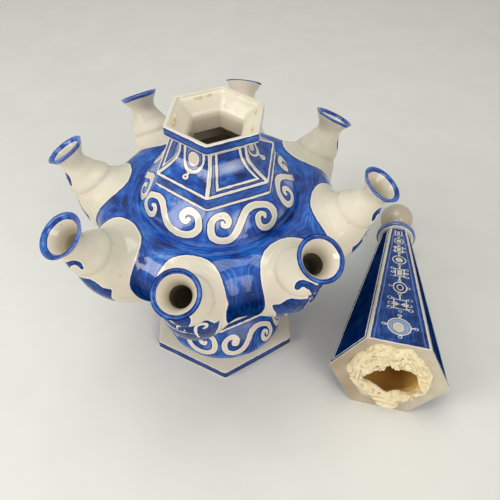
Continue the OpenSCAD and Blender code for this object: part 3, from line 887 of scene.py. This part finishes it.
# The sides of an inner frame, as shares of half the panel.
FRAME_LEFT, FRAME_RIGHT = 0.66, 0.8
# The right half of a pendant's hanger, from the middle of the panel: aside and up.
HANGER = [(0, 23), (4, 24.6), (7.2, 28.5), (8.6, 33), (8.8, 37), (8.3, 41.5)]
HANGER_HALVES = (1.15, 1.0, 1.3, 1.0, 1.15)
TAIL = [(0, 23.5), (-0.3, 21.5), (-0.8, 19.8)]
TAIL_HALVES = (1.5, 1.0, 0.9)


def across_face(corner_r, turns):
    """Half the width of a face of a six-sided piece, and the way across it from its middle."""
    half = corner_r / 2
    return half, 2 * half * FLAT * np.tan(np.radians(np.mod(turns, 60) - 30))


panel_line = bezier([(PANEL_R, PANEL_Z), (36.3, 210), (NECK_TOP_R, 213), (NECK_TOP_R, COLLAR_Z)], 60)
neck_band = outline_steps([(NECK_R, NECK_Z), (PANEL_R, PANEL_Z)], 0.8)
neck_outside = np.vstack([neck_band, even(panel_line, 46)[1:]])
neck_inside = even(panel_line, 16)[::-1] - [WALL / FLAT, 0]
neck_inside[neck_inside[:, 1] > 216, 0] = NECK_TOP_R - WALL / FLAT
neck_inside = np.vstack([neck_inside, [NECK_R - WALL / FLAT, NECK_Z]])
turns = all_round(600, 360)
rings = six_piece(np.vstack([neck_outside, neck_inside]), turns, NECK_TURN, 90)
v = running(neck_outside)[:, None] + 0 * turns[None]
half_face, u = across_face(neck_outside[:, :1], turns[None])
framing = np.minimum.reduce([
    np.where(v > BAND_LINE, half_face - np.abs(u) - 1.6, FAR),
    np.abs(v - BAND_LINE) - 1.0,
    np.abs(v - FOOT_LINE) - 0.7,
    PANEL_TOP - v,
])
side_left = np.abs(u + FRAME_LEFT * half_face) - 0.85
side_right = np.abs(u - np.interp(v, [14, 41], [FRAME_RIGHT, 0.62]) * half_face) - 0.85
past_frame = np.maximum(np.maximum(-FRAME_LEFT * half_face - u, u - FRAME_RIGHT * half_face), 0)
frame_foot = np.hypot(v - FRAME_FOOT, past_frame) - 0.9
inner_frame = np.minimum(np.where(v > 14, np.minimum(side_left, side_right), FAR), frame_foot)
egg = (np.hypot(u / 5.0, (v - EGG) / 5.4) - 1) * 5.2
hanger = stroke(u, v, 1.0, [(-hu, hv) for hu, hv in HANGER[:0:-1]] + HANGER, HANGER_HALVES)
tail = stroke(u, v, 1.0, TAIL, TAIL_HALVES)
bead = np.abs(np.hypot(u + 1.0, v - 17.8) - 1.7) - 0.8
pendant = np.minimum.reduce([egg, hanger, tail, bead])
odd = (np.floor(turns / 60).astype(int) % 2 == 1)[None]
bare_here = on_first(rings, np.minimum(framing, np.where(odd, pendant, inner_frame)), WHITE)
# The blue is thin round the egg, in the middle of a framed panel, and a little between its frames.
round_egg = np.clip((8.0 - np.hypot(u, (v - EGG) * 0.9)) / 2, 0, 1) * 0.45
middle = np.clip(1 - np.abs(v - 28.5) / 6, 0, 1) * np.clip(1.2 - np.abs(u) / (0.62 * half_face), 0, 1)
between = 0.3 * np.clip(past_frame - 0.5, 0, 1) * (v > 11)
between = np.maximum(between, 0.3 * ((v > 11) & (v < 13.2)))
wash_here = on_first(rings, np.where(odd, round_egg, np.maximum(0.85 * middle, between)))
clay("neck", rings, bare_here, rings * [0.22, 0.22, 0.6], wash=wash_here)


# Neck collar
# The flared six-sided mouth that takes the foot of the spire: a flat white rim, a ledge inside it,
# and a sloped throat. Its upright side is blue up to the rim, over a thin white line.

# Each outline: corner radius and height.
COLLAR_FLARE = outline_steps([(NECK_TOP_R, COLLAR_Z), (38.3, 234.8)], 1.2)
COLLAR_SIDE = outline_steps([(38.8, 235.3), (38.8, 241.7)], 0.6)
COLLAR_RIM = outline_steps([(38.6, 242.1), (38.1, 242.3), (35.9, 242.3), (35.4, 242.0), (35.34, 241.2)], 1.0)
COLLAR_LEDGE = bezier([(34.9, 240.9), (32.6, 239.9), (31.8, 239.3), (30.4, 238.1)], 10)
COLLAR_THROAT = bezier([(24.6, 233.1), (22.9, 231.6), (21.9, 229.8), (21.65, COLLAR_Z)], 10)
COLLAR_BAND = (235.9, 242.0)
outline = np.vstack([COLLAR_FLARE, COLLAR_SIDE, COLLAR_RIM, COLLAR_LEDGE, COLLAR_THROAT])
rings = six_piece(outline, all_round(480, 360), NECK_TURN, 60)
banded = np.full(len(outline), WHITE)
painted_rows = np.concatenate([
    np.minimum(6, (38.0 - COLLAR_FLARE[:, 0]) * 1.2),
    np.minimum(COLLAR_SIDE[:, 1] - COLLAR_BAND[0], COLLAR_BAND[1] - COLLAR_SIDE[:, 1]),
    [-0.2, -0.9, -1.9],
])
banded[:len(painted_rows)] = painted_rows
clay("neck_collar", rings, banded[:, None], rings * LEVEL_STROKES, wash=-0.2)


# Plaster in the mouth
# Crumbs of old plaster that held the spire, broken off and left stuck on the ledge of the mouth.
# They are flat smears a few millimetres long, matt and yellowed.

# Each crumb: its turn from the front in degrees, and its length, width and height.
CRUMBS = [(69, 3.4, 1.9, 0.7), (109, 3.2, 1.7, 0.6), (200, 2.8, 1.7, 0.6), (216, 3.4, 2.0, 0.7),
          (272, 3.0, 1.8, 0.7), (289, 4.8, 3.0, 0.9)]
# Each is broken into bits: their places along it and across it, and their share of its size.
BITS = [(0.1, 0.0, 0.6), (-1.1, 0.15, 0.42), (1.2, -0.1, 0.4), (-0.5, -0.6, 0.3), (0.8, 0.5, 0.28),
        (-1.7, -0.2, 0.25)]
LEDGE_R, LEDGE_Z = 28.6, 240.0
BIT_STEPS, BIT_RINGS = 28, 15

# Dried gypsum plaster: a chalky, uneven cream with no shine, stained yellow in patches on the crumbs,
# and darker at the foot of each flaked step of the bed as painted shade.
CHALK_MM = 2.2
STAIN_MM = 12
GYPSUM_STOPS = [(0.34, "#d8c08a"), (0.44, "#e9d8ac"), (0.54, "#f0e3c2"), (0.7, "#f4ebd4")]
GYPSUM_STAIN_AND_SHADE = "#a9813f"
plaster = bpy.data.materials.new("old_gypsum_plaster")
tree = fresh_tree(plaster)
place = node(tree, "TexCoord", {}, out="Object")
chalk = node(tree, "TexNoise", {"Vector": place, "Scale": 1 / (CHALK_MM * MM), "Detail": 6.0,
                                "Roughness": 0.65})
stain = node(tree, "TexNoise", {"Vector": place, "Scale": 1 / (STAIN_MM * MM), "Detail": 4.0})
shade = node(tree, "Math", {0: stain, 1: 0.5}, operation="MULTIPLY")
shade = node(tree, "Math", {0: chalk, 1: 0.5, 2: shade}, operation="MULTIPLY_ADD")
gypsum = node(tree, "ValToRGB", {"Fac": shade}, GYPSUM_STOPS)
# The stain colour is yellow stain on the crumbs, and painted shade at the foot of the bed's steps.
hollow = node(tree, "Attribute", {}, out="Fac", attribute_name="raw")
gypsum = node(tree, "Mix", {0: hollow, 6: gypsum, 7: linear(GYPSUM_STAIN_AND_SHADE)}, out=2, data_type="RGBA")
rough = node(tree, "Bump", {"Height": chalk, "Strength": 0.4, "Distance": 0.6 * MM})
dry = node(tree, "BsdfPrincipled", {"Base Color": gypsum, "Roughness": 0.85, "Specular IOR Level": 0.25,
                                    "Normal": rough})
node(tree, "OutputMaterial", {"Surface": dry})

around = all_round(BIT_STEPS)[None, :, None]
rise = np.linspace(-math.pi / 2, math.pi / 2, BIT_RINGS)[:, None, None]
bits = [(turn + size[0] * along, np.array(size) * share, across * size[1])
        for turn, *size in CRUMBS for along, across, share in BITS]
verts, faces = [], []
for k, (turn, (long, wide, tall), aside) in enumerate(bits):
    a = math.radians(FRONT + NECK_TURN + turn)
    r = six(LEDGE_R / FLAT, np.array([float(turn)]), 60)[0] + aside
    along = np.array([-math.sin(a), math.cos(a), 0])
    out = np.array([math.cos(a), math.sin(a), 0])
    shape = (np.cos(rise) * (np.cos(around) * along * long + np.sin(around) * out * wide)
             + np.sin(rise) * np.array([0, 0, tall]))
    broken = 0.5 * lumps(shape + 40 * k, 1.4, 11 + k)
    chipped = 0.25 * lumps(shape + 40 * k, 0.7, 21 + k)
    shape = shape * (1 + broken + chipped)[..., None]
    shape = shape + out * r + [0, 0, LEDGE_Z]
    lowest = len(verts)
    verts += [shape[0].mean(0), *shape[1:-1].reshape(-1, 3), shape[-1].mean(0)]
    highest = len(verts) - 1
    first_row, last_row = lowest + 1, highest - BIT_STEPS
    for i in range(BIT_STEPS):
        j = (i + 1) % BIT_STEPS
        faces.append((lowest, first_row + j, first_row + i))
        faces.append((highest, last_row + i, last_row + j))
        for low in range(first_row, last_row, BIT_STEPS):
            faces.append((low + i, low + j, low + BIT_STEPS + j, low + BIT_STEPS + i))
mesh = bpy.data.meshes.new("neck_plaster")
mesh.from_pydata((np.array(verts) * MM).tolist(), [], faces)
mesh.shade_smooth()
# The crumbs are stained yellow in patches.
stain_and_shade = 0.35 + 0.3 * lumps(verts, 2.0, 29)
mesh.attributes.new("raw", "FLOAT", "POINT").data.foreach_set("value", stain_and_shade.astype(np.float32))
carried("neck_plaster", mesh, plaster, "vase")


# Spire
# A hollow six-sided shaft that stands on the neck, here laid on the table on its base edge and ball.
# Its panels are framed by white ridges, and the upper one bears a chain of white jewels.
SPIRE_R, SPIRE_TOP_R, SPIRE_H, PLATE_H = 51.6, 17.2, 189.8, 6.0
SPIRE_APOTHEM = SPIRE_R * FLAT
SPIRE_COLLAR_R, SPIRE_COLLAR_H, STEM_R, STEM_H, BALL_R = 21.2, 9.0, 9.0, 10.0, 18.3
SPIRE_PLACE, SPIRE_HEADING = np.array([151.7, -90.3, 0.0]), math.radians(-8.7)
TUBE = SPIRE_COLLAR_H / 2
STEM_S = SPIRE_H + SPIRE_COLLAR_H
BALL_S = STEM_S + STEM_H + BALL_R


def touching(rise, along, r):
    """Angle of a line from the base edge that just touches a circle farther along."""
    return math.acos(r / math.hypot(rise, along)) - math.atan2(along, rise)


SPIRE_DROP = min(touching(SPIRE_APOTHEM, BALL_S, BALL_R),
                 touching(SPIRE_APOTHEM - SPIRE_COLLAR_R + TUBE, SPIRE_H + TUBE, TUBE))


def laid(points):
    """Moves points of the upright spire to where it lies on the table."""
    x, y, z = points[..., 0], points[..., 1] - SPIRE_APOTHEM, points[..., 2]
    tip = -(math.pi / 2 + SPIRE_DROP)
    y, z = y * math.cos(tip) - z * math.sin(tip), y * math.sin(tip) + z * math.cos(tip)
    c, s = math.cos(SPIRE_HEADING), math.sin(SPIRE_HEADING)
    return np.stack([x * c - y * s, x * s + y * c, z], -1) + SPIRE_PLACE


def spire_corner_r(s):
    """Radius of the shaft's corners at heights s."""
    return SPIRE_R - (SPIRE_R - SPIRE_TOP_R) * np.asarray(s, float) / SPIRE_H


# The jewel chain, in mm across and up the upper panel. Ovals and boxes have a middle, half a width and
# height, and half the width of their line, and some boxes have a white stone. Beads have a radius.
RINGED = [((0, 22.5), (9.6, 10.6), 0.65), ((1, 79.5), (6.2, 8.2), 0.65), ((0.5, 127), (6.4, 7.2), 0.6),
          ((0.5, 164), (4.6, 5.8), 0.5), ((1, 79.5), (2.8, 4.2), 0.5)]
FILLED = [((-0.7, 21.5), (5.0, 6.4)), ((0.5, 127), (3.7, 4.2)), ((0.5, 164), (2.6, 3.4))]
BOXES = [((0.8, 53.5), (5.6, 6.6), 0.6, False), ((0.8, 104), (4.2, 6.2), 0.7, True),
         ((0.2, 147), (3.8, 5.6), 0.65, True), ((0.2, 180.5), (3.4, 4.6), 0.6, True)]
BEADS = [(-13, 23, 1.5), (14, 23, 1.5), (0.5, 9.2, 1.5), (0.5, 37.2, 1.5), (0.8, 43.5, 1.3), (0.6, 69, 1.5),
         (-7.8, 80, 1.3), (8.8, 80, 1.3), (0.6, 90.5, 1.4), (0.8, 116.5, 1.3), (0.5, 137.5, 1.2),
         (0.3, 155.5, 1.1), (0.3, 172.5, 1.0)]
LINKS = [[(-9.6, 22.8), (-11.5, 23)], [(9.6, 22.8), (12.4, 23)], [(0.3, 33), (0.5, 35.7)],
         [(0.8, 61), (0.6, 67.4)], [(0.8, 87.8), (0.6, 89)], [(0.6, 92), (0.8, 97)],
         [(0.8, 111), (0.8, 115)], [(0.6, 118), (0.5, 120)], [(0.5, 134), (0.5, 136)],
         [(0.4, 139), (0.2, 141)], [(0.2, 153), (0.3, 154)]]
# Beads on stalks at both sides of the boxes, from the middle of the chain, with their radius.
SIDE_BEADS = [(9.2, 47, 1.9), (8.6, 53.5, 1.9), (9.0, 61.5, 1.9), (7.2, 97.5, 1.4), (6.8, 104, 1.4),
              (6.9, 110.5, 1.4), (5.2, 143.5, 1.0), (5.2, 150.5, 1.0)]
BEAD_HALF = 0.44
CHAIN_MIDDLE = 0.8
UPPER_PANEL = 4


def oval(u, s, middle, half):
    """Distance from an oval, negative inside it."""
    return (np.hypot((u - middle[0]) / half[0], (s - middle[1]) / half[1]) - 1) * min(half)


def jewels(u, s):
    """The white jewel chain up the middle of the upper panel: distance from its white."""
    drawn = [np.abs(oval(u, s, middle, half)) - line for middle, half, line in RINGED]
    drawn += [oval(u, s, middle, half) for middle, half in FILLED]
    drawn += [np.abs(np.hypot(u - bu, s - bs) - r) - BEAD_HALF for bu, bs, r in BEADS]
    drawn += [stroke(u, s, 1.0, link, (0.8, 0.8)) for link in LINKS]
    for middle, half, line, stone in BOXES:
        box = np.maximum(np.abs(u - middle[0]) - half[0], np.abs(s - middle[1]) - half[1])
        drawn.append(np.abs(box) - line)
        if stone:
            drawn.append(box + 1.9)
    off = u - CHAIN_MIDDLE
    for sign in (-1, 1):
        # The first box holds a white bow.
        bow = np.maximum(np.abs(s - BOXES[0][0][1]) - 0.72 * np.abs(off), np.abs(off - sign * 2.4) - 2.2)
        drawn.append(np.maximum(bow, -(sign * off)))
        for bu, bs, r in SIDE_BEADS:
            stalk = [(CHAIN_MIDDLE + sign * (bu - 3.2), bs), (CHAIN_MIDDLE + sign * (bu - r), bs)]
            drawn.append(np.abs(np.hypot(off - sign * bu, s - bs) - r) - BEAD_HALF)
            drawn.append(stroke(u, s, 1.0, stalk, (0.7, 0.6)))
    near = np.minimum.reduce(drawn)
    return np.where(near > 0, near * 2.5, near)


def spire_paint(turns, s):
    """The panels' painting by turn from a corner and height: distance from white, and thinness of blue,
    with the side panels' blue painted dark as painted shade.
    """
    half_face, u = across_face(spire_corner_r(s), turns)
    inset = half_face - np.abs(u)
    upper = np.floor(turns / 60).astype(int) == UPPER_PANEL
    ridges = np.minimum(inset - np.where(upper & (u < 0), 2.0, 1.55), s - 1.5)
    framed = np.where(s > 4.4, np.abs(inset - 3.8) - 0.8, FAR)
    framed = np.minimum(framed, np.where(inset > 3.0, np.abs(s - 4.4) - 0.7, FAR))
    thin = 0.8 * np.clip(-oval(u, s, *RINGED[0][:2]), 0, 1)
    thin = np.maximum(thin, 0.35 * np.clip(1.4 - np.abs(inset - 4.8) / 0.5, 0, 1))
    white = np.minimum(ridges, np.where(upper, jewels(u, s), framed))
    # The side panels' blue is painted dark, as painted shade.
    return white, np.where(upper, np.where(thin > 0, thin, -0.35), -0.8)


# The mesh is close where lines are drawn: along the ridges of the side panels, and all over the upper.
side_steps = np.concatenate([np.arange(18) / 90, 0.2 + np.arange(10) * 0.06, 0.8 + np.arange(18) / 90])
upper_steps = np.arange(96) / 96
spire_turns = np.concatenate([60 * k + 30 + np.degrees(np.arctan((2 * steps - 1) * math.tan(math.pi / 6)))
                              for k, steps in enumerate([side_steps] * 4 + [upper_steps] + [side_steps])])


def spire_rings(outline):
    """Rings of the spire, laid on the table, from an outline of corner radius and height."""
    radii = np.array([six(r, spire_turns, 90) for r, s in outline])
    return laid(standing(radii, np.radians(spire_turns), np.array(outline)[:, 1:]))


shaft_s = np.linspace(PLATE_H, SPIRE_H, 240)
inside_s = np.linspace(SPIRE_H, PLATE_H, 16)
all_s = np.concatenate([shaft_s, inside_s])
corner_r = spire_corner_r(all_s)
corner_r[len(shaft_s):] -= WALL / FLAT
rings = spire_rings(np.stack([corner_r, all_s], 1))
# On the side panels the blue is painted dark, as painted shade.
white, thinness = spire_paint(*np.meshgrid(spire_turns, shaft_s))
brush_here = np.stack(np.broadcast_arrays(spire_turns[None] * 0.6, 0, all_s[:, None] * 0.12), -1)
clay("spire_shaft", rings, on_first(rings, white, WHITE), brush_here, on_first(rings, thinness),
     raw=on_first(rings, 0 * white, 1.0), body="spire")

HOLE_R = 25.5
plate_s = np.linspace(0.5, PLATE_H, 9)
plate_face = [(38.0, 0.0), (45.0, 0.0), (SPIRE_R - 0.7, 0.0)]
plate = spire_rings(np.vstack([plate_face, np.stack([spire_corner_r(plate_s), plate_s], 1)]))
a = np.radians(spire_turns)
rings = np.concatenate([plate, [laid(standing(HOLE_R, a, s)) for s in (PLATE_H, 3.0, 0.4, 0.0)]])
face_rows = len(plate_face)
side_rows = slice(face_rows, len(plate))
bare_here = np.full(rings.shape[:2], WHITE)
wash_here = np.zeros_like(bare_here)
bare_here[face_rows - 1] = -2
# The sides of the base take the panels' painting, with the side panels' painted shade.
bare_here[side_rows], wash_here[side_rows] = spire_paint(*np.meshgrid(spire_turns, plate_s))
# The glaze on the base is thin and soiled, and there is none in its hole.
raw_here = np.zeros_like(bare_here)
raw_here[:face_rows] = -0.54 - 0.14 * lumps(rings[:face_rows], 9, 51) + 0.2 * np.cos(a)
raw_here[len(plate):] = 1
clay("spire_base", rings, bare_here, rings * 0.3, wash=wash_here, raw=raw_here, body="spire")


# Spire collar and ball
# A thrown ring on top of the shaft, blue with a pale inner edge, and a plain cream ball on a stem,
# its cream painted darker as painted shade.
# Both were turned on the wheel and luted on with slip.
def turned_rings(outline, count):
    """Rings of a turned piece of the spire, laid on the table."""
    return laid(standing(outline[:, :1], all_round(count), outline[:, 1:]))


RING_FLAT_R = 12.0
u = np.linspace(-math.pi / 2, math.pi / 2, 26)
ring_line = np.stack([SPIRE_COLLAR_R - TUBE + TUBE * np.cos(u), SPIRE_H + TUBE + TUBE * np.sin(u)], 1)
ring_top = [(RING_FLAT_R, STEM_S), (ON_AXIS, STEM_S)]
rings = turned_rings(np.vstack([[(ON_AXIS, SPIRE_H)], ring_line, ring_top]), 120)
banded = np.concatenate([[-4], TUBE * np.minimum(u + 1.0, 0.95 - u), [-4, -4]])
clay("spire_collar", rings, banded[:, None], rings * 0.5, wash=0.3, body="spire")

joint = math.asin(STEM_R / BALL_R) + 0.12
u = np.linspace(-math.pi / 2 + joint, math.pi / 2 - 0.001, 44)
ball_line = np.stack([BALL_R * np.cos(u), BALL_S + (BALL_R - ON_AXIS) * np.sin(u)], 1)
stem_line = bezier([(STEM_R + 1.2, STEM_S), (STEM_R - 0.6, STEM_S + 4), (STEM_R - 0.8, STEM_S + 8),
                    ball_line[0]], 14)
rings = turned_rings(np.vstack([[(ON_AXIS, STEM_S)], stem_line, ball_line[1:]]), 96)
# The ball's cream is painted darker all over, as painted shade.
clay("ball_finial", rings, WHITE, rings * 0.5, raw=-0.45, body="spire")


# Plaster bed
# The broken ring of plaster on the spire's base, where it was bedded on the neck and torn off again.
# Its edges are ragged, and its face is flaked off in low steps like slate.

# Both edges: turn from the right in degrees, looking at the base, and radius in mm.
BED_HOLE = [(4, 24.9), (28, 23.4), (49, 20.5), (70, 15.8), (90, 14.2), (99, 19.8), (110, 13.4), (134, 12.4),
            (170, 16.8), (192, 22.8), (200, 22.4), (213, 17.5), (239, 15.6), (262, 18.2), (278, 21.2),
            (288, 17.8), (306, 17.2), (314, 21.5), (328, 25), (342, 27), (352, 27)]
BED_EDGE = [(20, 36.7), (44, 36.4), (64, 38.6), (76, 42.3), (92, 39.4), (107, 41.9), (117, 42.5), (130, 38.6),
            (161, 36.4), (181, 35.5), (200, 31.4), (222, 29.5), (243, 29.5), (258, 32.5), (272, 37.5),
            (288, 37.5), (300, 33), (316, 31), (329, 30.5), (343, 33.5), (357, 35.3)]
BED_STEPS, BED_RINGS = 420, 70
FLAKE = 1.9
BED_LOW, BED_HIGH = 0.15, 8.6
a = all_round(BED_STEPS)
ring_dir = standing(1, a, 0)
from_right = np.mod(-np.degrees(a), 360)
hole_edge = np.interp(from_right, *np.array(BED_HOLE).T, period=360)
hole_edge = hole_edge + 0.7 * lumps(ring_dir * 20, 3.0, 33) + 0.5 * lumps(ring_dir * 20, 1.2, 34)
outer_edge = np.interp(from_right, *np.array(BED_EDGE).T, period=360)
outer_edge = outer_edge + 0.9 * lumps(ring_dir * 30, 4, 31) + 0.6 * lumps(ring_dir * 30, 1.6, 32)
share = np.linspace(0, 1, BED_RINGS)[:, None]
r = hole_edge + (outer_edge - hole_edge) * share
flat = standing(r, a, 0)
layered = np.stack(np.broadcast_arrays(r, 11 * np.cos(a), 11 * np.sin(a)), -1)
layers = 4.0 + 2.2 * lumps(flat, 12, 35) + 2.6 * lumps(layered, 4.5, 36) + 0.8 * lumps(flat, 3.5, 37)
layers = layers / FLAKE
step_up = layers - np.floor(layers)
height = FLAKE * (np.floor(layers) + smooth(step_up, 0.84, 1))
height = height + 0.5 * lumps(flat, 3.0, 38) + 0.15 * lumps(flat, 1.2, 39)
to_edge = np.clip(np.minimum(share / 0.05, (1 - share) / 0.07), 0, 1) ** 0.6
height = np.clip(to_edge * height, BED_LOW, BED_HIGH)
# Painted shade lies along the foot of each step, in the crease under its riser.
stain_and_shade = 0.75 * np.clip(1 - np.abs(step_up - 0.82) / 0.12, 0, 1) * np.clip(0.6 + lumps(flat, 6, 40), 0, 1)
undercut = np.maximum(np.minimum(hole_edge + 3, HOLE_R - 0.2), hole_edge)
behind = standing(undercut, a, 1.2)
seat = standing(outer_edge, a, 0.2)
rings = laid(np.concatenate([behind[None], standing(r, a, -height), seat[None]]))
raw_here = np.concatenate([stain_and_shade[:1], stain_and_shade, stain_and_shade[-1:]])
clay("plaster_bed", rings, WHITE, rings, raw=raw_here, body="spire", finish=plaster)
